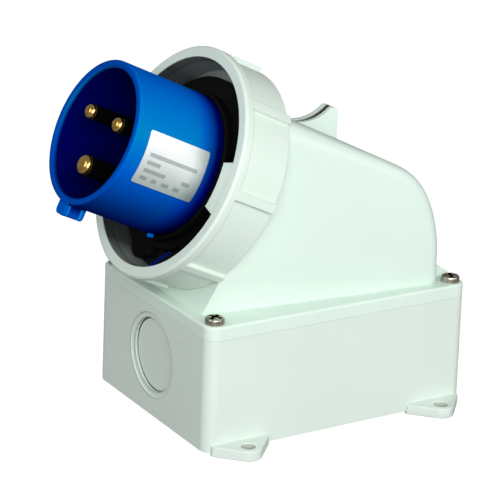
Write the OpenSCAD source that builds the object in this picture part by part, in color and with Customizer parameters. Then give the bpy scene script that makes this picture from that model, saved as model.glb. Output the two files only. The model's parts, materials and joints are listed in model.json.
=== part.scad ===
// Surface mount appliance inlet: a wall box with an angled cover that carries a
// round three-pin plug in a bayonet ring. Millimetres, mounting face at Z = 0, plug towards -X.

/* [Box] */
// Length of the box, front to back
box_l = 120; // [112:1:132]
// Width of the box across the lugs' sides
box_w = 88; // [86:1:100]
// Height of the box from its underside to the seam with the cover
box_h = 44.5; // [40:0.5:60]
// Wall of the box
box_wall = 3; // [2.5:0.1:4]
// Floor of the box
box_floor = 3; // [2:0.1:5]
// Radius of the box's upright corners
corner_r = 5; // [3:0.5:7]
// Distance of the cover screws from the box's outer faces
screw_inset = 5; // [4.5:0.1:6]
// Radius of the corner posts that take the cover screws
post_r = 4.6; // [4:0.1:5.5]

/* [Lugs] */
// Distance of the mounting holes from the box's front and rear faces
hole_in = 15; // [14:0.5:25]
// Distance of the mounting holes beyond the box's sides
hole_out = 6; // [5:0.1:10]
// Diameter of the mounting holes
hole_d = 5.5; // [4:0.1:6]
// Thickness of a lug
lug_t = 4.2; // [3:0.1:6]
// Height of the box's underside above the lugs' feet
foot_h = 1.2; // [0.5:0.1:2]
// Width of a lug where it meets the box
lug_w = 25.2; // [18:0.1:27]
// Straight part of a lug's ends, beyond the box's side
lug_end = 1.8; // [1:0.1:3.5]
// Radius of a lug's rounded tip
lug_tip_r = 5.4; // [5:0.1:7]

/* [Knockout] */
// Diameter of the outer step of the cable knockout
knock_d = 34; // [26:0.5:35]
// Width of the step between the outer circle and the disc
knock_step = 3; // [1.5:0.1:5]
// Depth of each of the two steps
knock_depth = 0.8; // [0.4:0.1:1]
// Height of the knockout's centre above the middle of the box
knock_up = 2.3; // [0:0.1:2.5]

/* [Cover] */
// Thickness of the cover's rim
rim_t = 5.5; // [4:0.1:8]
// Bevel along the rim's upper edge
rim_bevel = 0.9; // [0.4:0.1:1.5]
// Wall of the angled housing
hood_wall = 3; // [2:0.1:4]
// Step from the ring's outside in to the plate behind it
plate_in = 5.6; // [3.5:0.1:6.5]
// Distance of the housing's sides beyond the sleeve at the front
hood_over = 1.5; // [1.2:0.1:3]
// Lean of the housing's lower sides at the front
hood_lean = 9; // [5:0.1:12]
// Depth of the lean's start below the axis, as a share of the housing's half width
knee_share = 0.66; // [0.5:0.01:0.9]
// Half width of the housing at the rear
hood_rear_w = 39.4; // [36:0.1:41]
// Depth of the flat roof below the top of the plate behind the ring
roof_flat = 8.1; // [5:0.1:8.5]
// Distance of the housing's rear wall from the box's rear face
rear_in = 11; // [10:0.5:14]
// Radius of the bend from the roof to the rear wall
bend_r = 44; // [30:1:50]
// Rounding of the housing's rear edges
hood_edge_r = 5; // [4.5:0.1:8]
// Rounding of the roof's edges at the front
roof_edge_r = 8; // [5:0.5:12]
// Length of the tongue under the rim
tongue_h = 3; // [2:0.1:5]
// Thickness of the tongue
tongue_t = 2; // [1.5:0.1:3]
// Height of the sloping skirt behind the rear wall
skirt_h = 7.5; // [4:0.5:10]
// Half length of the skirt between the rear screws
skirt_w = 31; // [20:1:32]

/* [Fin] */
// Thickness of the channel-shaped fin
fin_t = 7; // [5:0.1:10]
// Wall on each side of the fin's channel
fin_lip = 1.4; // [1:0.1:2]
// Depth of the channel
fin_groove = 2.2; // [1:0.1:3]
// Radius of the hollow front of the fin
fin_hollow_r = 18.5; // [14:0.5:22]
// Angle that the hollow sweeps up to the fin's tip
fin_sweep = 45; // [40:1:55]
// Thickness of the fin at its tip
fin_tip = 2.4; // [1.5:0.1:4]
// Distance of the fin's rear edge from the housing's rear wall
fin_in = 28.7; // [26:0.1:36]
// Height of the fin's tip above the roof at its rear edge
fin_h = 14; // [12:0.5:18]

/* [Plug axis] */
// Angle of the plug's axis above the mounting face
tilt = 25; // [22:1:28]
// Where the plug's axis meets the housing's front, from the box's front face
axis_in = 25.8; // [25:0.1:29]
// Gap between the lowest point of the ring and the rim
ring_up = 1.4; // [0.8:0.1:4]

/* [Bayonet ring] */
// Outer radius of the ring
ring_r = 46.2; // [45:0.1:50]
// Length of the ring
ring_len = 22; // [20:0.5:30]
// Wall of the ring round its mouth
ring_wall = 4.5; // [4:0.1:5]
// Length of the collar that turns on the neck
collar_len = 4.7; // [3:0.1:6]
// Length of the band at the ring's front
band_len = 3.5; // [2:0.1:6]
// Bevel round the front edge of the band
band_bevel = 0.8; // [0.3:0.1:1.5]
// Depth of the panels between the ribs
panel_depth = 1.7; // [0.8:0.1:2]
// Number of grip ribs
ribs = 8; // [4:1:16]
// Width of a grip rib
rib_w = 3.6; // [2:0.1:6]
// How far the two bayonet tabs reach in from the ring's mouth
tab_reach = 6.7; // [3.7:0.1:8.5]
// Thickness of a bayonet tab
tab_t = 2.6; // [1.5:0.1:4]
// Distance of the tabs behind the ring's front face
tab_set_back = 0.6; // [0:0.1:2]
// Angle that one tab spans
tab_span = 29; // [15:1:40]
// Angle that the ring can turn
ring_turn = 45; // [20:1:60]
// Radius of the stop peg
peg_r = 1.4; // [1:0.1:1.6]
// Height of the stop peg
peg_h = 2; // [1:0.1:3]

/* [Insert] */
// Gap between the plug's shroud and the ring's mouth
shroud_gap = 13.4; // [12.4:0.1:13.7]
// Wall of the shroud
shroud_wall = 3; // [2:0.1:4]
// Length of the shroud in front of the ring
shroud_out = 35.1; // [25:0.1:45]
// Depth of the well inside the shroud
well_depth = 43; // [35:0.5:46]
// How far the flange laps over the ring's collar
flange_lap = 3.6; // [3:0.1:4]
// Thickness of the insert's flange
flange_t = 5; // [3:0.1:6]
// Step from the shroud in to the insert's rear body
body_in = 0.3; // [0:0.1:1]
// Length of the rear body behind the housing's front
body_len = 14; // [12:0.5:18]
// Wall of the rear body
body_wall = 3; // [2.6:0.1:3.5]
// Wall of the sleeve round the rear body
sleeve_wall = 2.5; // [1.5:0.1:2.8]
// Thickness of the floor that carries the pins
carrier_t = 8; // [6:0.1:10]
// Width of the key on the shroud
key_w = 6.8; // [5:0.1:9]
// Height of the key beyond the shroud
key_h = 4.6; // [3:0.1:6]
// Length of the key
key_len = 7.8; // [6:0.1:12]
// Thickness of the key's front and rear plates
key_plate = 2; // [1:0.1:2.5]
// Rounding of the key's corners
key_round = 1.8; // [0.5:0.1:2.2]
// Thickness of the web between the key's plates
key_web = 4.8; // [2:0.1:5]
// Bevel of the shroud's mouth
mouth_bevel = 0.7; // [0.3:0.1:1]
// Radius of the small pip near the shroud's foot
pip_r = 1.3; // [0.8:0.1:2]
// Height of that pip above the shroud
pip_h = 1.6; // [0.8:0.1:2.5]
// Angle of that pip from twelve o'clock
pip_angle = -166; // [-180:1:-120]

/* [Pins] */
// Radius of the circle on which the pins stand
pin_circle_r = 12.5; // [12:0.1:14.5]
// Diameter of the line and neutral pins
pin_d = 6; // [5:0.1:6.5]
// Diameter of the earth pin
earth_d = 8; // [7:0.1:8.4]
// Distance of the pins' tips behind the shroud's mouth
pin_recess = 0.5; // [0.5:0.1:6]
// Rounding of the pins' tips, as a distance from their edge
pin_round = 2.2; // [1:0.1:2.4]
// Radius of the shoulder that the carrier holds
shoulder_r = 5.6; // [5:0.1:6]
// Thickness of that shoulder
shoulder_t = 3; // [2:0.1:4]
// Radius of the terminal barrel
barrel_r = 4.8; // [4.6:0.1:5.2]
// Length of the terminal barrel
barrel_len = 26; // [22:0.5:32]
// Diameter of the wire hole
wire_d = 5; // [3:0.1:5.5]
// Depth of the wire hole
wire_depth = 14; // [10:0.5:18]
// Thickness of the retainer plate behind the pins
retainer_t = 3; // [2:0.1:4]

/* [Seals] */
// Wall of the liner inside the ring
liner_wall = 1; // [0.8:0.1:2]
// Gap between the liner and the ring's tabs
liner_gap = 0.8; // [0.5:0.1:3]
// Distance of the face seal's edge from the flange's edge
seal_in = 4.8; // [3:0.1:6]
// Thickness of the face seal
seal_t = 4.2; // [2:0.1:5]
// Gap between the face seal's lobe and the liner
lobe_gap = 0.3; // [0.2:0.1:1]
// Radius of the lobe's rounded end
lobe_r = 6; // [3:0.1:8]
// Angle of the lobe from twelve o'clock
lobe_angle = 168; // [150:1:175]
// Depth of the notch beside the lobe, as a share of the seal's width
notch_share = 0.47; // [0.2:0.01:0.7]
// Angle that the notch spans
notch_span = 32; // [10:1:60]
// Angle between the middles of the lobe and the notch
notch_step = 30; // [26:1:60]
// Thickness of the round seal's cord
cord_d = 1.7; // [1.4:0.1:1.8]
// Height of the cover gasket
gasket_h = 2.4; // [1.5:0.1:2.8]
// Width of the cover gasket
gasket_w = 1.6; // [1:0.1:2.5]

/* [Label] */
// Length of the label along the shroud
label_len = 27.2; // [20:0.1:30]
// Angle that the label spans round the shroud
label_span = 41; // [20:1:60]
// Distance of the label from the shroud's mouth
label_set_back = 6.4; // [5:0.1:9]
// Thickness of the label
label_t = 0.25; // [0.15:0.05:0.4]

/* [Fasteners] */
// Radius of a cover screw's head
cap_r = 4; // [3.5:0.1:4.2]
// Height of a cover screw's head
cap_h = 3; // [2:0.1:3.5]
// Radius of a cover screw's shank
cap_shank_r = 1.9; // [1.5:0.1:2.2]
// Length of a cover screw's shank
cap_len = 20; // [12:0.5:28]
// Number of screws that hold the insert
insert_screws_n = 4; // [2:1:6]
// Radius of the small screws' shanks
small_shank_r = 1.3; // [1:0.1:1.5]
// Radius of the small screws' heads
small_head_r = 2.6; // [2:0.1:2.8]
// Height of the small screws' heads
small_head_h = 1.8; // [1.4:0.1:2]
// Length of the small screws' shanks
small_len = 7; // [5:0.5:9]
// Radius of a terminal screw
term_r = 1.9; // [1.5:0.1:2.2]
// Length of a terminal screw
term_len = 5.5; // [4:0.1:8]
// Width of the slots in the screws' heads
slot_w = 0.9; // [0.5:0.1:1.2]
// Length of those slots, as a share of the head's width
slot_share = 0.65; // [0.5:0.05:0.8]
// Depth of the slots in the screws' heads
slot_depth = 1; // [0.5:0.1:1.2]

/* [Fits] */
// Running gap between the ring's bore and the neck, on the radius
run_gap = 0.1; // [0.05:0.01:0.1]
// Play at each end of the ring's collar
end_gap = 0.3; // [0.3:0.05:0.5]
// Gap round pieces that slide together at assembly
slip = 0.1; // [0.05:0.01:0.15]
// Gap between the flange or the liner and the turning ring
turn_gap = 0.4; // [0.3:0.05:0.6]
// Layer of glue under the label
glue = 0.05; // [0.02:0.01:0.1]

/* [Hidden] */
$fn = 96;
// Overlap of pieces of one solid, and overshoot of cuts
eps = 0.01;
over = 1;
// Facets of the rounded housing
hull_fn = 32;

seam_z = foot_h + box_h;
rim_top = seam_z + rim_t;
hole_dx = box_l - 2 * hole_in;
hole_dy = box_w + 2 * hole_out;
knock_z = foot_h + box_h / 2 + knock_up;
rear_x = box_l / 2 - rear_in;
fin_x = rear_x - fin_in;
// The plug's axis meets the housing's front at axis_x, axis_z: the ring just clears the rim
axis_x = axis_in - box_l / 2;
axis_z = rim_top + ring_up + ring_r * cos(tilt);
screw_x = box_l / 2 - screw_inset;
screw_y = box_w / 2 - screw_inset;
// The inner outline that clears the corner posts
inner_x = box_l / 2 - box_wall;
inner_y = box_w / 2 - box_wall;
post_clear = 0.5;
corner_cut = (inner_x - screw_x) + (inner_y - screw_y) + sqrt(2) * (post_r + post_clear);

// Heights along the plug's axis, measured from the housing's front
ring_front = end_gap + ring_len;
neck_len = collar_len + 2 * end_gap;
flange_front = neck_len + flange_t;
mouth_h = ring_front + shroud_out;
floor_h = mouth_h - well_depth;
carrier_back = floor_h - carrier_t;
pin_tip = mouth_h - pin_recess;
barrel_end = carrier_back - barrel_len;
retainer_back = carrier_back - retainer_t;
tab_h = ring_front - tab_set_back - tab_t;
liner_top = tab_h - liner_gap;
pip_at = ring_front - pip_r;
label_h = mouth_h - label_set_back - label_len;
// Height of the screws' seats in the flange, and of the round seal in its groove
seat_h = flange_front - small_head_h;
cord_h = -body_len / 2;

// Radii that follow the ring's: its mouth and tabs, the shroud, and the housing behind
ring_in_r = ring_r - ring_wall;
tab_in_r = ring_in_r - tab_reach;
shroud_r = ring_in_r - shroud_gap;
body_r = shroud_r - body_in;
plate_r = ring_r - plate_in;
roof_h = plate_r - roof_flat;
neck_bore_r = body_r + slip;
sleeve_r = neck_bore_r + sleeve_wall;
hood_w = sleeve_r + hood_over;
hood_knee = knee_share * hood_w;
// The liner stands on the flange's edge
flange_r = ring_in_r - turn_gap;
liner_in_r = flange_r - liner_wall;
lobe_reach = liner_in_r - lobe_gap;
seal_r = flange_r - seal_in;
notch_depth = notch_share * (seal_r - shroud_r);
// The neck's wall carries the insert's screws in its middle
neck_r = flange_r - flange_lap;
insert_screw_r = (neck_bore_r + neck_r) / 2;
insert_screw_depth = small_len - (flange_t - small_head_h);
// The round seal lies in a groove of the rear body, a slip clear of groove and bore
cord_circle_r = neck_bore_r - (slip + cord_d) / 2;
groove_r = cord_circle_r - (slip + cord_d) / 2;
groove_w = cord_d + 4 * slip;
body_in_r = body_r - body_wall;
collar_bore_r = neck_r + run_gap;
panel_r = ring_r - panel_depth;
// The stop peg and its slot lie in the middle of the collar's wall
peg_circle_r = (collar_bore_r + panel_r) / 2;
slot_half_w = peg_r + end_gap;
slot_extra = asin(slot_half_w / peg_circle_r);

line_angle = -60;
neutral_angle = 60;
earth_angle = 180;
side_angle = -90;
// The retainer's screws stand between the pins, half way to the rear body's wall
retainer_screw_r = (pin_circle_r + body_in_r) / 2;
retainer_angles = [for (a = [earth_angle, line_angle, neutral_angle]) a + 180];
term_h = barrel_end + wire_depth / 3;

// Turns plug coordinates, with X to twelve o'clock and Z out of the plug, to the part's frame
module on_axis() {
    translate([axis_x, 0, axis_z])
    rotate([0, tilt - 90, 0])
    children();
}

// Places children at a clock angle and radius about the plug's axis
module at_clock(angle, r) {
    rotate([0, 0, angle])
    translate([r, 0, 0])
    children();
}

module mirror_copy(v) {
    children();
    mirror(v) children();
}

module four_corners(x, y) {
    mirror_copy([1, 0, 0])
    mirror_copy([0, 1, 0])
    translate([x, y, 0])
    children();
}

module rounded_rect(l, w, r) {
    square([l - 2 * r, w], center = true);
    square([l, w - 2 * r], center = true);
    four_corners(l / 2 - r, w / 2 - r) circle(r);
}

// The inner outline of the box, shrunk by inset, with its corners cut to clear the posts
module cut_rect(inset) {
    x = inner_x - inset;
    y = inner_y - inset;
    c = corner_cut - (2 - sqrt(2)) * inset;
    polygon([[x - c, y], [c - x, y], [-x, y - c], [-x, c - y],
        [c - x, -y], [x - c, -y], [x, c - y], [x, y - c]]);
}

// Outline of a lug on the +Y side: straight ends, then straight to a round tip about the hole
module lug_outline() {
    root_y = box_w / 2 - over;
    end_y = box_w / 2 + lug_end;
    tip_y = hole_dy / 2;
    reach = norm([lug_w / 2, tip_y - end_y]);
    lean = 180 - atan2(tip_y - end_y, lug_w / 2) - asin(lug_tip_r / reach);
    side = sqrt(reach * reach - lug_tip_r * lug_tip_r);
    tip_x = lug_w / 2 + side * cos(lean);
    tip_end_y = end_y + side * sin(lean);
    polygon([[lug_w / 2, root_y], [lug_w / 2, end_y], [tip_x, tip_end_y],
        [-tip_x, tip_end_y], [-lug_w / 2, end_y], [-lug_w / 2, root_y]]);
    translate([0, tip_y]) circle(lug_tip_r);
}

module lugs() {
    mirror_copy([0, 1, 0])
    mirror_copy([1, 0, 0])
    translate([hole_dx / 2, 0, 0])
    linear_extrude(lug_t)
    lug_outline();
}

module knockout(step, r, depth) {
    translate([-box_l / 2 + step, 0, knock_z])
    rotate([0, 90, 0])
    translate([0, 0, -over])
    cylinder(r = r, h = depth + over);
}

module back_box() {
    color([0.86, 0.91, 0.88])
    difference() {
        union() {
            translate([0, 0, foot_h])
            difference() {
                linear_extrude(box_h) rounded_rect(box_l, box_w, corner_r);
                translate([0, 0, box_floor])
                linear_extrude(box_h)
                rounded_rect(box_l - 2 * box_wall, box_w - 2 * box_wall, max(corner_r - box_wall, eps));
            }
            translate([0, 0, foot_h])
            intersection() {
                four_corners(screw_x, screw_y) cylinder(r = post_r, h = box_h);
                linear_extrude(box_h) rounded_rect(box_l, box_w, corner_r);
            }
            lugs();
        }
        four_corners(hole_dx / 2, hole_dy / 2)
        translate([0, 0, -over])
        cylinder(d = hole_d, h = lug_t + 2 * over);
        four_corners(screw_x, screw_y)
        translate([0, 0, rim_top - cap_len - over])
        cylinder(r = cap_shank_r + slip, h = cap_len + over);
        knockout(0, knock_d / 2, knock_depth);
        knockout(knock_depth, knock_d / 2 - knock_step, knock_depth);
    }
}

// The roof's height above the mounting face at a distance x from the origin
function roof_z(x) = axis_z + roof_h / cos(tilt) - (x - axis_x) * tan(tilt);

// Distance behind the housing's front, along the plug's axis
function depth_at(x, z) = (x - axis_x) * cos(tilt) - (z - axis_z) * sin(tilt);

// Centre of the bend between the roof and the rear wall, and the angle that it turns
bend_x = rear_x - bend_r;
bend_z = roof_z(bend_x) - bend_r / cos(tilt);
bend_end = 90 - tilt;
bend_steps = 8;
rear_depth = depth_at(rear_x, bend_z);
hood_foot_z = rim_top - rim_t / 2;

// Half width of the housing along the bend, which widens from the front to the rear wall
function bend_w(d) = hood_w + (hood_rear_w - hood_w) * min(1, d / rear_depth);

// A pair of rounded corners across the housing, at the centres of their rounding
module hood_corners(x, z, w, r) {
    mirror_copy([0, 1, 0])
    translate([x, w - hood_edge_r, z])
    sphere(r, $fn = hull_fn);
}

// The housing's front outline: rounded to a flat top, upright sides leaning in to the foot
module hood_front(inset, drop) {
    low = drop + inset;
    foot_w = hood_w - (low - hood_knee) * tan(hood_lean);
    offset(-inset)
    hull() {
        mirror_copy([0, 1])
        translate([roof_h - roof_edge_r, hood_w - roof_edge_r])
        circle(roof_edge_r, $fn = 2 * hull_fn);
        translate([-hood_knee, -hood_w]) square([eps, 2 * hood_w]);
        translate([-low, -foot_w]) square([eps, 2 * foot_w]);
    }
}

// The angled housing as one rounded body down to foot_z, shrunk by inset
module hood(inset, foot_z) {
    r = hood_edge_r - inset;
    inner_bend = bend_r - hood_edge_r;
    hull() {
        on_axis()
        translate([0, 0, -inset - eps])
        linear_extrude(eps)
        hood_front(inset, (axis_z - foot_z) / cos(tilt));
        for (i = [0 : bend_steps]) {
            a = i * bend_end / bend_steps;
            x = bend_x + inner_bend * cos(a);
            z = bend_z + inner_bend * sin(a);
            hood_corners(x, z, bend_w(depth_at(x, z)), r);
        }
        hood_corners(rear_x - hood_edge_r, foot_z + r, hood_rear_w, r);
    }
}

module rim() {
    translate([0, 0, seam_z])
    hull() {
        linear_extrude(rim_t - rim_bevel)
        rounded_rect(box_l, box_w, corner_r, $fn = hull_fn);
        linear_extrude(rim_t)
        rounded_rect(box_l - 2 * rim_bevel, box_w - 2 * rim_bevel, corner_r - rim_bevel, $fn = hull_fn);
    }
}

// The tongue that centres the cover in the box and backs the gasket
module tongue() {
    translate([0, 0, seam_z - tongue_h])
    linear_extrude(tongue_h + eps)
    difference() {
        cut_rect(gasket_w);
        cut_rect(gasket_w + tongue_t);
    }
}

// Slabs across the part from an outline in its side view
module side_slab(width) {
    rotate([90, 0, 0])
    linear_extrude(width, center = true)
    children();
}

// Sloping skirt between the rear wall and the rim's rear edge
module skirt() {
    foot_x = box_l / 2 - rim_bevel;
    side_slab(2 * skirt_w)
    polygon([[rear_x - hood_wall / 2, hood_foot_z], [foot_x, hood_foot_z], [foot_x, rim_top + rim_bevel],
        [rear_x, rim_top + skirt_h], [rear_x - hood_wall / 2, rim_top + skirt_h]]);
}

// The fin's hollow front is part of a circle that runs out into the roof
fin_top = roof_z(fin_x) + fin_h;
fin_hollow_x = fin_x - fin_tip - fin_hollow_r * sin(fin_sweep);
fin_hollow_z = fin_top + fin_hollow_r * cos(fin_sweep);
fin_toe_x = fin_hollow_x - fin_hollow_r * sin(tilt);
fin_sink = hood_wall / 2;

module fin_hollow(r, width) {
    translate([fin_hollow_x, 0, fin_hollow_z])
    rotate([90, 0, 0])
    cylinder(r = r, h = width, center = true);
}

// Channel-shaped fin on the roof
module fin() {
    difference() {
        side_slab(fin_t)
        polygon([[fin_toe_x, roof_z(fin_toe_x) - fin_sink], [fin_x, roof_z(fin_x) - fin_sink],
            [fin_x, fin_top - fin_tip / 2], [fin_x - fin_tip / 2, fin_top], [fin_toe_x, fin_top]]);
        fin_hollow(fin_hollow_r, fin_t + over);
        fin_hollow(fin_hollow_r + fin_groove, fin_t - 2 * fin_lip);
    }
}

// The neck on which the ring turns, the plate and sleeve behind it, and the peg that stops the ring
module neck() {
    cylinder(r = neck_r, h = neck_len);
    translate([0, 0, -hood_wall]) cylinder(r = plate_r, h = hood_wall);
    translate([0, 0, -body_len]) cylinder(r = sleeve_r, h = body_len + neck_len);
    at_clock(earth_angle, peg_circle_r)
    translate([0, 0, -hood_wall / 2])
    cylinder(r = peg_r, h = hood_wall / 2 + peg_h);
}

module insert_screw_places() {
    for (i = [0 : insert_screws_n - 1])
        at_clock((i + 0.5) * 360 / insert_screws_n, insert_screw_r) children();
}

module cover() {
    color([0.88, 0.94, 0.91])
    difference() {
        union() {
            difference() {
                union() {
                    rim();
                    hood(0, hood_foot_z);
                    skirt();
                }
                hood(hood_wall, seam_z - over);
            }
            tongue();
            fin();
            on_axis() neck();
        }
        on_axis() {
            translate([0, 0, -body_len - over])
            cylinder(r = neck_bore_r, h = body_len + neck_len + 2 * over);
            insert_screw_places()
            translate([0, 0, neck_len - insert_screw_depth - over])
            cylinder(r = small_shank_r + slip, h = insert_screw_depth + 2 * over);
        }
        four_corners(screw_x, screw_y)
        translate([0, 0, seam_z - over])
        cylinder(r = cap_shank_r + slip, h = rim_t + 2 * over);
    }
}

module cover_gasket() {
    color([0.12, 0.12, 0.12])
    translate([0, 0, seam_z - gasket_h])
    linear_extrude(gasket_h)
    difference() {
        cut_rect(0);
        cut_rect(gasket_w);
    }
}

// A screw that points down from its seat at Z = 0, with a slot or a cross in its head
module screw(head_r, head_h, shank_r, len, slots) {
    difference() {
        union() {
            intersection() {
                cylinder(r = head_r, h = head_h);
                translate([0, 0, head_h - 2 * head_r]) sphere(2 * head_r);
            }
            translate([0, 0, -len]) cylinder(r = shank_r, h = len + eps);
        }
        for (i = [1 : slots])
            rotate([0, 0, i * 90])
            translate([-slot_share * head_r, -slot_w / 2, head_h - slot_depth])
            cube([2 * slot_share * head_r, slot_w, slot_depth + over]);
    }
}

module cover_screws() {
    color([0.7, 0.7, 0.68])
    four_corners(screw_x, screw_y)
    translate([0, 0, rim_top])
    screw(cap_r, cap_h, cap_shank_r, cap_len, 2);
}

// Half section of the insert: shroud, floor with the pins, flange, rear body with its seal's groove
module insert_section() {
    well_r = shroud_r - shroud_wall;
    polygon([[0, carrier_back], [body_in_r, carrier_back], [body_in_r, -body_len], [body_r, -body_len],
        [body_r, cord_h - groove_w / 2], [groove_r, cord_h - groove_w / 2],
        [groove_r, cord_h + groove_w / 2], [body_r, cord_h + groove_w / 2],
        [body_r, neck_len], [flange_r, neck_len], [flange_r, flange_front], [shroud_r, flange_front],
        [shroud_r, mouth_h - mouth_bevel], [shroud_r - mouth_bevel, mouth_h],
        [well_r + mouth_bevel, mouth_h], [well_r, mouth_h - mouth_bevel], [well_r, floor_h], [0, floor_h]]);
}

// The key under the shroud's mouth: two rounded plates joined by a web
module key() {
    reach = shroud_wall / 2 + key_h;
    at_clock(earth_angle, shroud_r + key_h - reach / 2) {
        for (h = [mouth_h - key_len, mouth_h - key_plate])
            translate([0, 0, h]) linear_extrude(key_plate) rounded_rect(reach, key_w, key_round);
        translate([0, 0, mouth_h - key_len]) linear_extrude(key_len) rounded_rect(reach, key_web, key_round);
    }
}

module pip() {
    at_clock(pip_angle, shroud_r - shroud_wall / 2)
    translate([0, 0, pip_at])
    rotate([0, 90, 0])
    cylinder(r = pip_r, h = shroud_wall / 2 + pip_h);
}

// Room for one pin in the carrier
module pin_room(angle, d) {
    at_clock(angle, pin_circle_r) {
        translate([0, 0, carrier_back - over]) cylinder(r = d / 2 + slip, h = carrier_t + 2 * over);
        translate([0, 0, carrier_back - over]) cylinder(r = shoulder_r + slip, h = shoulder_t + slip + over);
    }
}

module plug_insert() {
    color([0.02, 0.36, 0.78])
    on_axis()
    difference() {
        union() {
            rotate_extrude() insert_section();
            key();
            pip();
        }
        pin_room(line_angle, pin_d);
        pin_room(neutral_angle, pin_d);
        pin_room(earth_angle, earth_d);
        insert_screw_places() {
            translate([0, 0, neck_len - over]) cylinder(r = small_shank_r + slip, h = flange_t + over);
            translate([0, 0, seat_h]) cylinder(r = small_head_r + slip, h = small_head_h + over);
        }
        for (a = retainer_angles)
            at_clock(a, retainer_screw_r)
            translate([0, 0, carrier_back - over])
            cylinder(r = small_shank_r + slip, h = small_len - retainer_t + 2 * over);
    }
}

module insert_seal() {
    color([0.1, 0.1, 0.1])
    on_axis()
    translate([0, 0, cord_h])
    rotate_extrude()
    translate([cord_circle_r, 0])
    circle(d = cord_d);
}

module insert_screws() {
    color([0.75, 0.75, 0.72])
    on_axis()
    insert_screw_places()
    translate([0, 0, seat_h])
    screw(small_head_r, small_head_h, small_shank_r, small_len, 2);
}

// A brass pin: round tip, shank, shoulder in the carrier, barrel with wire hole and clamp screw
module pin(angle, d) {
    color([0.78, 0.58, 0.28])
    on_axis()
    at_clock(angle, pin_circle_r)
    difference() {
        union() {
            rotate_extrude() {
                translate([0, carrier_back]) square([d / 2 - pin_round, pin_tip - carrier_back]);
                translate([0, carrier_back]) square([d / 2, pin_tip - carrier_back - pin_round]);
                intersection() {
                    translate([d / 2 - pin_round, pin_tip - pin_round]) circle(pin_round);
                    translate([0, pin_tip - 2 * pin_round]) square([d, 2 * pin_round]);
                }
            }
            translate([0, 0, carrier_back]) cylinder(r = shoulder_r, h = shoulder_t);
            translate([0, 0, barrel_end]) cylinder(r = barrel_r, h = barrel_len + eps);
        }
        translate([0, 0, barrel_end - over]) cylinder(d = wire_d, h = wire_depth + over);
        translate([0, 0, term_h])
        rotate([0, 90, 0])
        cylinder(r = term_r + slip, h = barrel_r + over);
    }
}

module pin_line() {
    pin(line_angle, pin_d);
}

module pin_neutral() {
    pin(neutral_angle, pin_d);
}

module pin_earth() {
    pin(earth_angle, earth_d);
}

module pin_retainer() {
    color([0.9, 0.9, 0.86])
    on_axis()
    translate([0, 0, retainer_back])
    difference() {
        cylinder(r = body_in_r - slip, h = retainer_t);
        for (a = [line_angle, neutral_angle, earth_angle])
            at_clock(a, pin_circle_r)
            translate([0, 0, -over])
            cylinder(r = barrel_r + slip, h = retainer_t + 2 * over);
        for (a = retainer_angles)
            at_clock(a, retainer_screw_r)
            translate([0, 0, -over])
            cylinder(r = small_shank_r + slip, h = retainer_t + 2 * over);
    }
}

module retainer_screws() {
    color([0.75, 0.75, 0.72])
    on_axis()
    for (a = retainer_angles)
        at_clock(a, retainer_screw_r)
        translate([0, 0, retainer_back])
        mirror([0, 0, 1])
        screw(small_head_r, small_head_h, small_shank_r, small_len, 1);
}

module terminal_screws() {
    color([0.72, 0.7, 0.66])
    on_axis()
    for (a = [line_angle, neutral_angle, earth_angle])
        at_clock(a, pin_circle_r)
        translate([wire_d / 2, 0, term_h])
        rotate([0, 90, 0])
        difference() {
            cylinder(r = term_r, h = term_len);
            translate([-term_r - over, -slot_w / 2, term_len - slot_depth])
            cube([2 * (term_r + over), slot_w, slot_depth + over]);
        }
}

module liner() {
    color([0.2, 0.22, 0.22])
    on_axis()
    rotate_extrude()
    translate([liner_in_r, flange_front])
    square([liner_wall, liner_top - flange_front]);
}

// The face seal lies on the flange: a flat ring with a lobe, and a notch beside it
module face_seal() {
    color([0.05, 0.05, 0.05])
    on_axis()
    translate([0, 0, flange_front])
    difference() {
        linear_extrude(seal_t)
        difference() {
            union() {
                circle(seal_r);
                at_clock(lobe_angle, lobe_reach - lobe_r) circle(lobe_r);
            }
            circle(shroud_r + slip);
        }
        rotate([0, 0, lobe_angle + notch_step - notch_span / 2])
        rotate_extrude(angle = notch_span)
        translate([seal_r - notch_depth, -over])
        square([notch_depth + over, seal_t + 2 * over]);
    }
}

module rating_label() {
    color([0.85, 0.86, 0.86])
    on_axis()
    rotate([0, 0, side_angle - label_span / 2])
    rotate_extrude(angle = label_span)
    translate([shroud_r + glue, label_h])
    square([label_t, label_len]);
}

// Half section of the ring: collar at the rear, panels' floor, band with a beveled front edge
module ring_section() {
    collar_front = end_gap + collar_len;
    band_back = ring_front - band_len;
    polygon([[collar_bore_r, end_gap], [panel_r, end_gap], [panel_r, band_back], [ring_r, band_back],
        [ring_r, ring_front - band_bevel], [ring_r - band_bevel, ring_front], [ring_in_r, ring_front],
        [ring_in_r, collar_front], [collar_bore_r, collar_front]]);
}

module ring_ribs() {
    intersection() {
        for (i = [0 : ribs - 1])
            at_clock(i * 360 / ribs, panel_r - over)
            translate([0, -rib_w / 2, end_gap])
            cube([ring_r, rib_w, ring_len - band_len + eps]);
        cylinder(r = ring_r, h = ring_front);
    }
}

// Arc slot in the ring's rear face in which the stop peg runs
module stop_slot() {
    start = earth_angle - slot_extra;
    rotate([0, 0, start])
    rotate_extrude(angle = ring_turn + 2 * slot_extra)
    translate([peg_circle_r - slot_half_w, 0])
    square([2 * slot_half_w, peg_h + end_gap]);
}

module bayonet_ring() {
    color([0.88, 0.93, 0.9])
    on_axis()
    difference() {
        union() {
            rotate_extrude() ring_section();
            ring_ribs();
            for (a = [side_angle, -side_angle])
                rotate([0, 0, a - tab_span / 2])
                rotate_extrude(angle = tab_span)
                translate([tab_in_r, tab_h])
                square([ring_in_r - tab_in_r + eps, tab_t]);
        }
        stop_slot();
    }
}

back_box();
cover();
cover_gasket();
cover_screws();
plug_insert();
insert_seal();
insert_screws();
pin_line();
pin_neutral();
pin_earth();
pin_retainer();
retainer_screws();
terminal_screws();
liner();
face_seal();
rating_label();
bayonet_ring();
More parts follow.
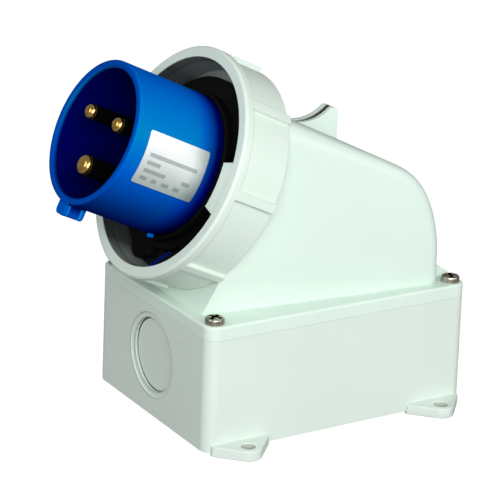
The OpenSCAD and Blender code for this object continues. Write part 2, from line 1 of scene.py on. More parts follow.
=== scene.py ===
# %% [markdown]
# # A surface mount appliance inlet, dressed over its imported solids
# The real thing is a pale plastic wall box. A leaning housing on its cover holds a blue plug
# inside a turning ring. The solids come in first and stay where they are. Every new piece below
# is fitted over them, in metres and in the same frame. Sizes are written in millimetres.

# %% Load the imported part
import json
import math
import bpy
from mathutils import Matrix, Vector


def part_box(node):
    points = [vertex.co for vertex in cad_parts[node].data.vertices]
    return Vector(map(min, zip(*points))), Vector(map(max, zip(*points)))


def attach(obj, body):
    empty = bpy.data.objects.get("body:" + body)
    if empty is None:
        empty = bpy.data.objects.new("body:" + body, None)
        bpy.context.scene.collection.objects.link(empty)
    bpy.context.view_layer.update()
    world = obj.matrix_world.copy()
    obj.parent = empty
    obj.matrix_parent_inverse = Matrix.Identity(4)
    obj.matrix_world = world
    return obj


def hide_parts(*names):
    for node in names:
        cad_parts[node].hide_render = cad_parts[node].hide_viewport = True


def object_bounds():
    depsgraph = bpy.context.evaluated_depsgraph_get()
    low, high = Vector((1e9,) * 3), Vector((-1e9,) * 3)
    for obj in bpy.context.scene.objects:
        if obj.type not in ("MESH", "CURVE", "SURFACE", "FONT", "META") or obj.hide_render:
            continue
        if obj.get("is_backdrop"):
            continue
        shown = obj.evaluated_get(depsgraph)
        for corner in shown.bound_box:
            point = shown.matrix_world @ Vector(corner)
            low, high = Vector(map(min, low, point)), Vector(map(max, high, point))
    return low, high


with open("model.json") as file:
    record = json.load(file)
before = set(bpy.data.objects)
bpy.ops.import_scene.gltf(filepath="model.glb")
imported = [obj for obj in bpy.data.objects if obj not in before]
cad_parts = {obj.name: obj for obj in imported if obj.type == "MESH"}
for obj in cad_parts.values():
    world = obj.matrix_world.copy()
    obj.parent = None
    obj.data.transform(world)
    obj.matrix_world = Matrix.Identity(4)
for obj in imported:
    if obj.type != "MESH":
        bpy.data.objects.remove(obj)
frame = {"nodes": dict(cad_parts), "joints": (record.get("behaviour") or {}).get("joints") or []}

cad_low, cad_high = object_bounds()
mm = 0.001

# %% [markdown]
# ## Where the plug points
# The shroud, the ring and everything inside it turn about one leaning axis, the axis of the ring's
# joint. Pieces on that axis are modelled upright about Z, where they are easy to think about, and
# then tipped into place. Reading the axis from the joint keeps the two models in step.


# %% The plug's own axes
def facing(right, up, out):
    return Matrix((right, up, out)).transposed().to_4x4()


ring_joint = frame["joints"][0]
plug_foot = Vector(ring_joint["pos_m"])
plug_out = -Vector(ring_joint["axis"]).normalized()
plug_side = Vector((0, 1, 0))
plug_noon = plug_side.cross(plug_out)
plug_place = Matrix.Translation(plug_foot) @ facing(plug_noon, plug_side, plug_out)
lean = math.asin(plug_out.z)
print("plug axis leans", round(math.degrees(lean), 2), "degrees from", [round(v, 4) for v in plug_foot])

# %% [markdown]
# ## The camera
# The photograph was taken from a little above, looking at the corner between the front and one
# side. A long lens keeps upright edges nearly parallel. The place, the lens and a slight roll were
# found by laying the solids' edges over the photograph.


# %% Set the camera
def direction(turn, height):
    return Vector((math.sin(turn) * math.cos(height), -math.cos(turn) * math.cos(height), math.sin(height)))


view_turn, view_height, view_roll = (math.radians(a) for a in (-32.079, 18.424, 2.098))
view_range, view_lens = 805.465, 140.987
look_at = Vector((0.221, 26.086, 52.461)) * mm
back = direction(view_turn, view_height)
level = Vector((math.cos(view_turn), math.sin(view_turn), 0))
rise = back.cross(level)
cam_right = math.cos(view_roll) * level + math.sin(view_roll) * rise
cam_up = math.cos(view_roll) * rise - math.sin(view_roll) * level
bpy.ops.object.camera_add()
camera = bpy.context.active_object
camera.name = "photo_camera"
camera.matrix_world = Matrix.Translation(look_at + back * view_range * mm) @ facing(cam_right, cam_up, back)
camera.data.lens = view_lens
camera.data.clip_end = 20
bpy.context.scene.camera = camera
print("camera stands at", [round(v, 3) for v in camera.location])

# %% [markdown]
# ## Helpers: working as by hand
# The helpers only save typing: each one is a thing that is done with a few clicks in the window.
# Every piece starts as a primitive that is added at its size and place. Applying the transform puts
# both into the mesh, so that the object itself stays at the origin.


# %% Helpers: start a piece
def clear():
    bpy.ops.object.select_all(action="DESELECT")


def start(add, name, **options):
    clear()
    add(**options)
    piece = bpy.context.active_object
    piece.name = piece.data.name = name
    bpy.ops.object.transform_apply(location=True, rotation=True, scale=True)
    return piece


def block(name, low, high):
    size = [(b - a) * mm for a, b in zip(low, high)]
    middle = [(a + b) / 2 * mm for a, b in zip(low, high)]
    return start(bpy.ops.mesh.primitive_cube_add, name, size=1, location=middle, scale=size)


def rod(name, radius, length, middle, turn=(0, 0, 0), sides=64):
    return start(bpy.ops.mesh.primitive_cylinder_add, name, vertices=sides, radius=radius * mm,
                 depth=length * mm, location=[v * mm for v in middle], rotation=turn)


# %% [markdown]
# An operator acts on all that is selected, so each step first clears the selection. Edges and
# corners are then picked in code by where they are, and rounded or stretched into a new shape.


# %% Helpers: select and edit
def focus(piece):
    clear()
    piece.select_set(True)
    bpy.context.view_layer.objects.active = piece


def edit_all(piece):
    focus(piece)
    bpy.ops.object.mode_set(mode="EDIT")
    bpy.ops.mesh.select_all(action="SELECT")


def pick(piece, kind, test):
    focus(piece)
    bpy.ops.object.mode_set(mode="EDIT")
    bpy.ops.mesh.select_mode(type=kind)
    bpy.ops.mesh.select_all(action="DESELECT")
    bpy.ops.object.mode_set(mode="OBJECT")
    mesh = piece.data
    if kind == "VERT":
        for v in mesh.vertices:
            v.select = test(v.co / mm)
    if kind == "EDGE":
        for e in mesh.edges:
            a, b = (mesh.vertices[i].co / mm for i in e.vertices)
            e.select = test(a, b)
    bpy.ops.object.mode_set(mode="EDIT")


def done():
    bpy.ops.object.mode_set(mode="OBJECT")


def round_edges(piece, test, radius, segments):
    pick(piece, "EDGE", test)
    bpy.ops.mesh.bevel(offset=radius * mm, offset_type="OFFSET", segments=segments, affect="EDGES")
    done()


def stretch_skin(piece, flat):
    edit_all(piece)
    bpy.ops.mesh.convex_hull()
    bpy.ops.mesh.dissolve_limited(angle_limit=math.radians(flat))
    done()


# %% [markdown]
# Modifiers are applied at once, so every mesh below is final. A small bevel on each sharp edge
# catches the light as a moulded edge does, and weighted normals keep the flat faces flat beside it.


# %% Helpers: modifiers and shading
def modify(piece, kind, **settings):
    focus(piece)
    modifier = piece.modifiers.new(kind.lower(), kind)
    for key, value in settings.items():
        setattr(modifier, key, value)
    bpy.ops.object.modifier_apply(modifier=modifier.name)


def cut(piece, tool):
    modify(piece, "BOOLEAN", operation="DIFFERENCE", solver="EXACT", object=tool)
    bpy.data.objects.remove(tool)


def shade(piece, angle=38):
    focus(piece)
    bpy.ops.object.shade_smooth_by_angle(angle=math.radians(angle), keep_sharp_edges=False)
    modify(piece, "WEIGHTED_NORMAL", weight=60, keep_sharp=True)


def soften(piece, width, segments=3):
    modify(piece, "BEVEL", width=width * mm, segments=segments, limit_method="ANGLE",
           angle_limit=math.radians(32), use_clamp_overlap=True, miter_outer="MITER_ARC")
    shade(piece)


# %% [markdown]
# What repeats is modelled once and copied. A finished piece is tied to the body that it moves with, and the
# solids that it covers are hidden.


# %% Helpers: copy, join, place and fit
def copy_of(piece):
    focus(piece)
    bpy.ops.object.duplicate()
    return bpy.context.active_object


def join(name, *pieces):
    clear()
    for piece in pieces:
        piece.select_set(True)
    bpy.context.view_layer.objects.active = pieces[0]
    bpy.ops.object.join()
    pieces[0].name = pieces[0].data.name = name
    return pieces[0]


def tip_into_place(piece):
    focus(piece)
    piece.matrix_world = plug_place
    bpy.ops.object.transform_apply(location=True, rotation=True, scale=True)
    return piece


def fit(piece, body, slot, *nodes):
    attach(piece, body)
    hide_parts(*nodes)
    print(piece.name, "has", len(piece.data.polygons), "faces and stands for", ", ".join(nodes))


# %% [markdown]
# ## Turning a section
# Most of the plug is round. A round piece starts as one corner point, is extruded point by point
# along its half section, and is spun about the axis. A lathe works the same way, and the section
# is easy to change later. The doubled seam is merged and the faces are turned outwards.


# %% Helper: spin a half section
def turned(name, section, turn=360, begin=0, steps=144):
    piece = start(bpy.ops.mesh.primitive_plane_add, name, size=mm)
    bpy.ops.object.mode_set(mode="EDIT")
    bpy.ops.mesh.select_mode(type="VERT")
    bpy.ops.mesh.select_all(action="SELECT")
    bpy.ops.mesh.merge(type="CENTER")
    at = Vector((math.cos(math.radians(begin)), math.sin(math.radians(begin)), 0))
    here = Vector()
    for i, (r, h) in enumerate(section):
        there = (at * r + Vector((0, 0, h))) * mm
        step = {"value": there - here}
        if i:
            bpy.ops.mesh.extrude_region_move(TRANSFORM_OT_translate=step)
        else:
            bpy.ops.transform.translate(**step)
        here = there
    bpy.ops.mesh.select_all(action="SELECT")
    bpy.ops.mesh.remove_doubles(threshold=1e-6)
    bpy.ops.mesh.spin(steps=steps, angle=-math.radians(turn), center=(0, 0, 0), axis=(0, 0, 1))
    bpy.ops.mesh.select_all(action="SELECT")
    bpy.ops.mesh.remove_doubles(threshold=1e-6)
    if turn < 360:
        bpy.ops.mesh.fill_holes(sides=0)
        bpy.ops.mesh.select_all(action="SELECT")
    bpy.ops.mesh.normals_make_consistent(inside=False)
    done()
    return piece


def slab_section(near, far, low, high):
    return [(near, low), (far, low), (far, high), (near, high), (near, low)]


# %% [markdown]
# ## The box
# The wall box is a deep moulded tray with round upright corners, and a mould needs sides that lean
# in a little. It starts as a cube. Its top corners are scaled inwards and its four upright edges
# are beveled with many segments, which gives clean round corners.

# %% Model the box
box_low, box_high = (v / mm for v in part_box("back_box"))
half_l, half_w = 60, 44
foot, seam, rim_top = 1.2, 45.7, 51.2
corner_r, top_in = 5, 0.45


def upright(a, b):
    return abs(a.z - b.z) > 1 and abs(a.x - b.x) < 1 and abs(a.y - b.y) < 1


def narrow(piece, height, by):
    pick(piece, "VERT", lambda p: abs(p.z - height) < 0.01)
    bpy.ops.transform.resize(value=(1 - by / half_l, 1 - by / half_w, 1), center_override=(0, 0, 0))
    done()


box = block("box_shell", (-half_l, -half_w, foot), (half_l, half_w, seam))
narrow(box, seam, top_in)
round_edges(box, upright, corner_r, 12)
print("solid box from", [round(v, 2) for v in box_low], "to", [round(v, 2) for v in box_high])

# %% [markdown]
# ## The cable knockout
# A round plate in the front wall is broken out where the cable comes in. Its two steps are cut with
# cylinders, and a turned ring cuts the fine groove round its floor, along which it would break.

# %% Cut the knockout
knock_z = 25.75
step_r, step_depth, floor_r, floor_depth = 17.1, 1.0, 15, 2.3
groove_w, groove_half = 0.7, 0.5
for radius, depth in ((step_r, step_depth), (floor_r, floor_depth)):
    cut(box, rod("knockout_tool", radius, 2 * depth, (-half_l, 0, knock_z), (0, math.pi / 2, 0), 96))
groove_section = slab_section(floor_r - groove_w, floor_r, -groove_half, groove_half)
groove = turned("knockout_groove", groove_section, steps=96)
groove.rotation_euler.y = math.pi / 2
groove.location = ((floor_depth - half_l) * mm, 0, knock_z * mm)
cut(box, groove)
soften(box, 0.3)
print("box with its knockout has", len(box.data.polygons), "faces")

# %% [markdown]
# ## The mounting lugs
# Four flat ears with a screw hole stand out at the foot of the box. Each is the skin that would be
# stretched round a bar at the box's side and a round tip, which is what Convex Hull does. One ear
# is modelled and the other three are mirrored copies.

# %% Model the lugs
hole_x, hole_y, hole_r = 45, 50, 2.75
lug_half, lug_t, lug_root, lug_tip_r = 12.6, 4.2, 0.7, 5.4
root = block("lug", (hole_x - lug_half, half_w - 1, 0), (hole_x + lug_half, half_w + lug_root, lug_t))
lug = join("lug", root, rod("lug_tip", lug_tip_r, lug_t, (hole_x, hole_y, lug_t / 2)))
stretch_skin(lug, 0.5)
cut(lug, rod("lug_hole", hole_r, 10, (hole_x, hole_y, 2), sides=48))
soften(lug, 0.45)
lugs = [lug]
for mirror in ((-1, 1, 1), (1, -1, 1), (-1, -1, 1)):
    ear = copy_of(lug)
    ear.scale = mirror
    bpy.ops.object.transform_apply(scale=True)
    edit_all(ear)
    bpy.ops.mesh.normals_make_consistent(inside=False)
    done()
    lugs.append(ear)
box = join("box_shell", box, *lugs)
fit(box, "housing", "housing_plastic", "back_box")

# %% [markdown]
# ## The cover's rim
# The cover closes the box with a flat rim of the same outline. The thin line between the two is
# one of the few lines on the near side, so both edges are rounded and leave a fine groove.

# %% Model the rim
rim = block("cover_shell", (-half_l, -half_w, seam), (half_l, half_w, rim_top))
for height in (seam, rim_top):
    narrow(rim, height, top_in)
round_edges(rim, upright, corner_r, 12)
rim_edge = 0.9
round_edges(rim, lambda a, b: min(a.z, b.z) > rim_top - 0.01, rim_edge, 5)
soften(rim, 0.2)
print("rim is", round(rim_top - seam, 2), "mm high")

# %% [markdown]
# ## The leaning housing
# The housing runs from a narrow front behind the ring to a broad upright rear wall, with a flat
# roof that bends down in one long curve. Modelling that surface patch by patch is slow. All its
# sides are straight rules between the front outline and the rounded rear edges, so a convex hull
# over a thin plate, a foot strip and two rows of balls gives the same skin at once.

# %% Model the housing's front
hood_w, knee, roof_h, roof_round = 32.8, 21.65, 32.5, 8
plate_t, strip_h, side_lean, foot_sink = 0.4, 0.01, math.radians(9), 2.75
front = block("hood_front", (-knee, -hood_w, -plate_t), (roof_h, hood_w, 0))
round_edges(front, lambda a, b: abs(a.z - b.z) > 0.3 and min(a.x, b.x) > roof_h - 0.01, roof_round, 16)
tip_into_place(front)
axis_x, axis_z = plug_foot.x / mm, plug_foot.z / mm
foot_z = rim_top - foot_sink
drop = (axis_z - foot_z) / math.cos(lean)
foot_w = hood_w - (drop - knee) * math.tan(side_lean)
strip = tip_into_place(block("hood_strip", (-drop, -foot_w, -plate_t), (-drop + strip_h, foot_w, 0)))
print("housing front reaches", round(drop, 1), "mm below the plug's axis")

# %% [markdown]
# The balls follow the roof's bend, which is a little fuller than a true arc, and move apart towards
# the rear, where the housing is broad. The hull then closes the skin over all of them.

# %% Model the housing's bend and close its skin
rear_x, rear_w, bend_r, edge_r = 49, 39.4, 44, 5
bend_steps, bulge = 16, 1.4
bend_x = rear_x - bend_r
bend_z = axis_z + roof_h / math.cos(lean) - (bend_x - axis_x) * math.tan(lean) - bend_r / math.cos(lean)


def depth_at(x, z):
    return (x - axis_x) * math.cos(lean) - (z - axis_z) * math.sin(lean)


ball_places = [(rear_x - edge_r, foot_z + edge_r, rear_w)]
for i in range(bend_steps + 1):
    angle = i / bend_steps * (math.pi / 2 - lean)
    reach = bend_r - edge_r + bulge * math.sin(math.pi * (i / bend_steps) ** 1.5) ** 2
    x, z = bend_x + reach * math.cos(angle), bend_z + reach * math.sin(angle)
    apart = min(1, depth_at(x, z) / depth_at(rear_x, bend_z))
    ball_places.append((x, z, hood_w + (rear_w - hood_w) * apart))
balls = []
for x, z, w in ball_places:
    for side in (-1, 1):
        balls.append(start(bpy.ops.mesh.primitive_uv_sphere_add, "hood_ball", segments=48, ring_count=24,
                           radius=edge_r * mm, location=(x * mm, side * (w - edge_r) * mm, z * mm)))
hood = join("hood", front, strip, *balls)
stretch_skin(hood, 0.15)
shade(hood, 30)
print("housing skin of", len(hood.data.polygons), "faces")

# %% [markdown]
# ## The fin
# A small fin on the roof has a hollow channel along its front edge, so it is a slab from which two
# cylinders are cut, one wide and one between the lips.

# %% Model the fin
fin_front, fin_rear, fin_half, fin_foot, fin_top, fin_corner = -3, 20.3, 3.5, 103, 118, 2.2
scoop_x, scoop_z, scoop_r = 4.818, 132.0, 18.5
channel_r, channel_w = 20.7, 3
fin = block("fin", (fin_front, -fin_half, fin_foot), (fin_rear, fin_half, fin_top))


def top_rear(a, b):
    return min(a.x, b.x) > fin_rear - 0.1 and min(a.z, b.z) > fin_top - 0.01


round_edges(fin, top_rear, fin_corner, 6)
for radius, width in ((scoop_r, 20), (channel_r, channel_w)):
    cut(fin, rod("fin_tool", radius, width, (scoop_x, 0, scoop_z), (math.pi / 2, 0, 0), 128))
soften(fin, 0.45)
print("fin ends", fin_top, "mm above the wall")

# %% [markdown]
# ## The skirt and the neck
# A sloping skirt joins the rear wall to the rim: a block whose upper rear edge is pulled down. The
# neck that the ring turns on and the plate behind it close the gap behind the ring.

# %% Model the skirt and the neck, and close the cover
skirt_front, skirt_rear, skirt_half, skirt_top, skirt_fall = 48, 59.1, 31, 59.35, 7.25
skirt = block("skirt", (skirt_front, -skirt_half, foot_z), (skirt_rear, skirt_half, skirt_top))
pick(skirt, "EDGE", lambda a, b: min(a.x, b.x) > skirt_rear - 0.1 and min(a.z, b.z) > skirt_top - 0.3)
bpy.ops.transform.translate(value=(0, 0, -skirt_fall * mm))
done()
soften(skirt, 0.5)
plate_r, plate_back, neck_r, neck_end = 40.6, -3, 37.7, 5.3
neck = turned("neck", [(0, plate_back), (plate_r, plate_back), (plate_r, 0),
                       (neck_r, 0), (neck_r, neck_end), (0, neck_end)])
soften(neck, 0.3)
tip_into_place(neck)
cover = join("cover_shell", rim, hood, fin, skirt, neck)
fit(cover, "housing", "housing_plastic", "cover")

# %% [markdown]
# ## The cover's screws
# Four pan head screws with a cross recess hold the cover. The head is turned from its section, two
# crossed bars are cut out of it, and every edge is broken a little, so that the recess reads as a
# dark cross with bright lips. Each copy is turned to another angle, as screws end up.

# %% Model the screws
screw_x, screw_y = 54.4, 38.4
head_r, head_h, shank_r, shank_l = 3.75, 2.8, 1.9, 20
cross_reach, cross_half, cross_floor, cross_top = 2.9, 0.75, 1.3, 5
screw = turned("cover_screw_heads", [(0, -shank_l), (shank_r, -shank_l), (shank_r, 0), (head_r, 0),
                                     (head_r, 1.7), (3.5, 2.3), (2.4, 2.75), (0, head_h)], steps=64)
for angle in (0, 90):
    tool = block("cross_tool", (-cross_reach, -cross_half, cross_floor), (cross_reach, cross_half, cross_top))
    tool.rotation_euler.z = math.radians(angle)
    cut(screw, tool)
soften(screw, 0.16, segments=2)
corner_turns = ((1, -1, 64), (1, 1, 12), (-1, 1, 81), (-1, -1, 27))
screws = []
for side_x, side_y, angle in corner_turns:
    copy = copy_of(screw)
    copy.location = (side_x * screw_x * mm, side_y * screw_y * mm, rim_top * mm)
    copy.rotation_euler.z = math.radians(angle)
    bpy.ops.object.transform_apply(location=True, rotation=True)
    screws.append(copy)
bpy.data.objects.remove(screw)
screws = join("cover_screw_heads", *screws)
fit(screws, "housing", "screw_steel", "cover_screws")

# %% [markdown]
# ## The turning ring
# The ring has a band at its front, sunk panels between eight grip ribs, and two tabs inside its
# mouth that pull the socket in. Band and panels are one turned section. A rib is a block, copied
# round the axis, and a tab is a short sweep of a rectangle.

# %% Model the ring
ring_back, ring_front, band_back, band_edge, mouth_floor = 0.3, 22.3, 18.8, 0.8, 5
bore_r, mouth_r, panel_r, band_r = 37.8, 41.7, 44.5, 46.2
rib_count, rib_in, rib_out, rib_half, rib_end = 8, 43.4, 46.18, 1.8, 19.4
tab_in, tab_out, tab_back, tab_front, tab_turn = 35, 42.4, 19.1, 21.7, 29
ring = turned("grip_ring", [(bore_r, ring_back), (panel_r, ring_back), (panel_r, band_back),
                            (band_r, band_back), (band_r, ring_front - band_edge),
                            (band_r - band_edge, ring_front), (mouth_r, ring_front),
                            (mouth_r, mouth_floor), (bore_r, mouth_floor), (bore_r, ring_back)])
soften(ring, 0.22)
rib = block("rib", (rib_in, -rib_half, ring_back), (rib_out, rib_half, rib_end))
soften(rib, 0.28)
parts = [ring]
for i in range(rib_count):
    copy = copy_of(rib)
    copy.rotation_euler.z = i * 2 * math.pi / rib_count
    bpy.ops.object.transform_apply(rotation=True)
    parts.append(copy)
bpy.data.objects.remove(rib)
for middle in (-90, 90):
    tab_section = slab_section(tab_in, tab_out, tab_back, tab_front)
    tab = turned("tab", tab_section, tab_turn, middle - tab_turn / 2, 16)
    soften(tab, 0.3)
    parts.append(tab)
ring = tip_into_place(join("grip_ring", *parts))
fit(ring, "ring", "ring_plastic", "bayonet_ring")

# %% [markdown]
# ## The blue plug
# The shroud is a thick tube with a floor that carries the pins and a flange behind it, all in one
# turned section. A key of two plates and a web under its mouth stops a wrong socket, and a pip
# stands near its foot.

# %% Model the plug
shroud_r, well_r, well_floor, shroud_end, outer_edge = 28.3, 25.3, 14.4, 57.4, 0.7
flange_r, flange_back, flange_front, plug_back_r, plug_back = 41.3, 5.3, 10.3, 28, -14
plug = turned("plug_shroud", [(0, well_floor), (well_r, well_floor), (well_r, shroud_end - 1),
                              (well_r + 0.8, shroud_end), (shroud_r - outer_edge, shroud_end),
                              (shroud_r, shroud_end - outer_edge), (shroud_r, flange_front),
                              (flange_r, flange_front), (flange_r, flange_back), (plug_back_r, flange_back),
                              (plug_back_r, plug_back), (0, plug_back)])
soften(plug, 0.45)
print("shroud stands", round(shroud_end - flange_front, 2), "mm out of its flange")

# %% [markdown]
# The key's plates and web are blocks with two round corners each. The pip is a short rod that
# sticks out near the shroud's foot.

# %% Add the key and the pip
key_low, key_high, key_half, web_half, key_corner = -32.9, -27, 3.4, 2.9, 1.8
key_back, key_t = 48.5, 2.2
key_plates = ((key_half, key_back, key_back + key_t), (key_half, shroud_end - key_t, shroud_end),
              (web_half, key_back + 0.5, shroud_end - 0.4))
parts = [plug]
for half, low, high in key_plates:
    plate = block("key", (key_low, -half, low), (key_high, half, high))
    round_edges(plate, lambda a, b: abs(a.z - b.z) > 1 and a.x < key_low + 0.9, key_corner, 7)
    soften(plate, 0.6)
    parts.append(plate)
pip_turn, pip_from_axis, pip_out, pip_r, pip_l = math.radians(-166), 28.35, 21, 1.3, 3.1
pip_place = (pip_from_axis * math.cos(pip_turn), pip_from_axis * math.sin(pip_turn), pip_out)
pip = rod("pip", pip_r, pip_l, pip_place, (0, math.pi / 2, pip_turn), 32)
soften(pip, 0.3)
parts.append(pip)
plug = tip_into_place(join("plug_shroud", *parts))
fit(plug, "housing", "blue_plastic", "plug_insert")

# %% [markdown]
# ## The dark wall and the face seal
# Inside the ring's mouth a thin dark wall stands on the flange, and a soft black seal lies within
# it. The wall is turned, with a slope that leaves only a thin lip beside the ring. The seal's outline
# with its lobe and notch is already right in the solid, so a copy of that solid is merged and its
# edges are rounded. A thin turned lip closes the seal against the shroud.

# %% Model the wall and the seal
wall_in, wall_end, wall_lip, slope_begin = 40.3, 18.3, 0.2, 11.5
wall = turned("inner_wall", [(wall_in, flange_front), (flange_r, flange_front), (flange_r, wall_end),
                             (flange_r - wall_lip, wall_end), (wall_in, slope_begin),
                             (wall_in, flange_front)])
shade(wall, 30)
fit(tip_into_place(wall), "housing", "liner_plastic", "liner")
seal = copy_of(frame["nodes"]["face_seal"])
seal.name = seal.data.name = "soft_face_seal"
edit_all(seal)
bpy.ops.mesh.remove_doubles(threshold=1e-6)
bpy.ops.mesh.dissolve_limited(angle_limit=math.radians(0.2))
done()
soften(seal, 0.35)
lip_in, lip_out, lip_back, lip_edge = 28.4, 29.6, 14.2, 0.5
lip = turned("seal_lip", [(lip_in, lip_back), (lip_out, lip_back), (lip_out, wall_end - lip_edge),
                          (lip_out - lip_edge, wall_end), (lip_in, wall_end), (lip_in, lip_back)])
soften(lip, 0.2)
seal = join("soft_face_seal", seal, tip_into_place(lip))
fit(seal, "housing", "rubber", "face_seal")

# %% [markdown]
# ## The label
# The label is a thin foil that follows the shroud. A line is swept round the shroud for its height,
# the four corners of the sheet are rounded, and Solidify gives it its thickness.

# %% Model the label
label_r, label_turn, label_back, label_front = 28.36, 41, 23.8, 51
label_corner, label_t = 0.9, 0.24
label_line = [(label_r, label_back), (label_r, label_front)]
label = turned("label_sheet", label_line, label_turn, -90 - label_turn / 2, 10)
sheet_edge = label_r * math.sin(math.radians(label_turn / 2)) - 0.01
pick(label, "VERT", lambda p: abs(p.x) > sheet_edge)
bpy.ops.mesh.bevel(offset=label_corner * mm, offset_type="OFFSET", segments=6, affect="VERTICES")
done()
modify(label, "SOLIDIFY", thickness=label_t * mm, offset=1)
shade(label)
tip_into_place(label)
fit(label, "housing", "label_foil", "rating_label")

# %% [markdown]
# ## Finishes: small node helpers
# A material is a tree of nodes. These helpers add one node and link what goes into it. The masks
# take their limits in millimetres, and a mask is 1 where a tone shows and 0 elsewhere.


# %% Helpers: nodes and masks
def node(tree, kind, values=None, **settings):
    made = tree.nodes.new(kind)
    for key, value in settings.items():
        setattr(made, key, value)
    for key, value in (values or {}).items():
        made.inputs[key].default_value = value
    return made


def math_node(tree, operation, a, b=None):
    made = node(tree, "ShaderNodeMath", operation=operation)
    for i, value in enumerate((a, b)):
        if isinstance(value, (int, float)):
            made.inputs[i].default_value = value
        elif value is not None:
            tree.links.new(value, made.inputs[i])
    return made.outputs[0]


def spread(tree, value, low, high, to_low, to_high):
    made = node(tree, "ShaderNodeMapRange", {1: low, 2: high, 3: to_low, 4: to_high})
    tree.links.new(value, made.inputs[0])
    return made.outputs[0]


def ramp(tree, value, begin, end):
    return spread(tree, value, begin * mm, end * mm, 0.0, 1.0)


def over(tree, value, limit):
    return math_node(tree, "GREATER_THAN", value, limit * mm)


def under(tree, value, limit):
    return math_node(tree, "LESS_THAN", value, limit * mm)


def both(tree, first, *others):
    for other in others:
        first = math_node(tree, "MULTIPLY", first, other)
    return first


def within(tree, value, low, high):
    return both(tree, over(tree, value, low), under(tree, value, high))


# %% [markdown]
# ## Finishes: the moulded skin
# Moulded plastic is never one flat colour. Its tone drifts a little over the piece, its skin has a
# fine spark eroded grain, and hands leave smoother patches. These three come from one node group,
# so that every plastic and rubber piece gets them with its own strength.


# %% Group: moulded skin
def group(name, inputs, outputs):
    tree = bpy.data.node_groups.new(name, "ShaderNodeTree")
    for side, sockets in (("INPUT", inputs), ("OUTPUT", outputs)):
        for title, kind in sockets:
            tree.interface.new_socket(title, in_out=side, socket_type="NodeSocket" + kind)
    return tree, tree.nodes.new("NodeGroupInput").outputs, tree.nodes.new("NodeGroupOutput").inputs


skin, take, give = group("moulded_skin", [("Place", "Vector"), ("Grain Scale", "Float"), ("Mottle", "Float")],
                         [("Tone", "Float"), ("Grain", "Float"), ("Smudge", "Float")])
drift = node(skin, "ShaderNodeTexNoise", {"Scale": 24.0, "Detail": 3.0})
patches = node(skin, "ShaderNodeTexNoise",
               {"Scale": 75.0, "Detail": 5.0, "Roughness": 0.6, "Distortion": 0.4})
pores = node(skin, "ShaderNodeTexNoise", {"Detail": 2.0, "Roughness": 0.7})
for noise in (drift, patches, pores):
    skin.links.new(take["Place"], noise.inputs["Vector"])
skin.links.new(take["Grain Scale"], pores.inputs["Scale"])
swing = math_node(skin, "MULTIPLY", spread(skin, drift.outputs["Fac"], 0.3, 0.7, -1.0, 1.0), take["Mottle"])
skin.links.new(math_node(skin, "ADD", swing, 1.0), give["Tone"])
skin.links.new(pores.outputs["Fac"], give["Grain"])
skin.links.new(spread(skin, patches.outputs["Fac"], 0.35, 0.7, 0.0, 1.0), give["Smudge"])
print("made group", skin.name)

# %% [markdown]
# ## Finishes: measured along the plug
# Several finishes change along the plug's axis: bright pin tips, a darker well, bars on the label.
# A Mapping node of the kind Texture undoes the plug's lean, so X, Y and Z then count from the foot
# of its axis. The group also turns X and Y into a radius.

# %% Group: plug axes
axes, take, give = group("plug_axes", [("Place", "Vector")],
                         [("Noon", "Float"), ("Side", "Float"), ("Out", "Float"), ("Radius", "Float")])
untip = node(axes, "ShaderNodeMapping", {"Location": plug_foot, "Rotation": plug_place.to_euler()},
             vector_type="TEXTURE")
axes.links.new(take["Place"], untip.inputs["Vector"])
parted = node(axes, "ShaderNodeSeparateXYZ")
axes.links.new(untip.outputs[0], parted.inputs[0])
for i, name in enumerate(("Noon", "Side", "Out")):
    axes.links.new(parted.outputs[i], give[name])
squares = [math_node(axes, "POWER", parted.outputs[i], 2.0) for i in (0, 1)]
axes.links.new(math_node(axes, "SQRT", math_node(axes, "ADD", *squares)), give["Radius"])
print("made group", axes.name)

# %% [markdown]
# ## Finishes: marks on metal
# Turned and drawn metal carries fine lines and a few dull spots. One group stretches a noise across
# the surface for the lines and gives a coarser one for the spots.

# %% Group: metal marks
marks, take, give = group("metal_marks", [("Place", "Vector"), ("Line Scale", "Float")],
                          [("Lines", "Float"), ("Spots", "Float")])
stretch = node(marks, "ShaderNodeMapping", {"Scale": (1.0, 1.0, 9.0)})
lines = node(marks, "ShaderNodeTexNoise", {"Detail": 3.0})
spots = node(marks, "ShaderNodeTexNoise", {"Scale": 420.0, "Detail": 4.0, "Roughness": 0.65})
marks.links.new(take["Place"], stretch.inputs["Vector"])
marks.links.new(stretch.outputs[0], lines.inputs["Vector"])
marks.links.new(take["Line Scale"], lines.inputs["Scale"])
marks.links.new(take["Place"], spots.inputs["Vector"])
marks.links.new(lines.outputs["Fac"], give["Lines"])
marks.links.new(spread(marks, spots.outputs["Fac"], 0.45, 0.7, 0.0, 1.0), give["Spots"])
print("made group", marks.name)

# %% [markdown]
# ## Finishes: the recipe for plastics and rubber
# One recipe serves every moulded piece: a colour times the drifting tone, a roughness between two
# values that follows the smudges, and a very low bump from the grain. The values make it pale satin
# plastic, dark plastic or dull rubber. The colour is one tone, or a function that mixes tones by place.


# %% Helpers: materials and the moulded recipe
def finish(name):
    mat = bpy.data.materials.new(name)
    mat.use_nodes = True
    tree = mat.node_tree
    return mat, tree, tree.nodes["Principled BSDF"], tree.nodes.new("ShaderNodeTexCoord").outputs["Object"]


def use(tree, group_tree, place, **values):
    made = tree.nodes.new("ShaderNodeGroup")
    made.node_tree = group_tree
    tree.links.new(place, made.inputs["Place"])
    for key, value in values.items():
        made.inputs[key.replace("_", " ")].default_value = value
    return made.outputs


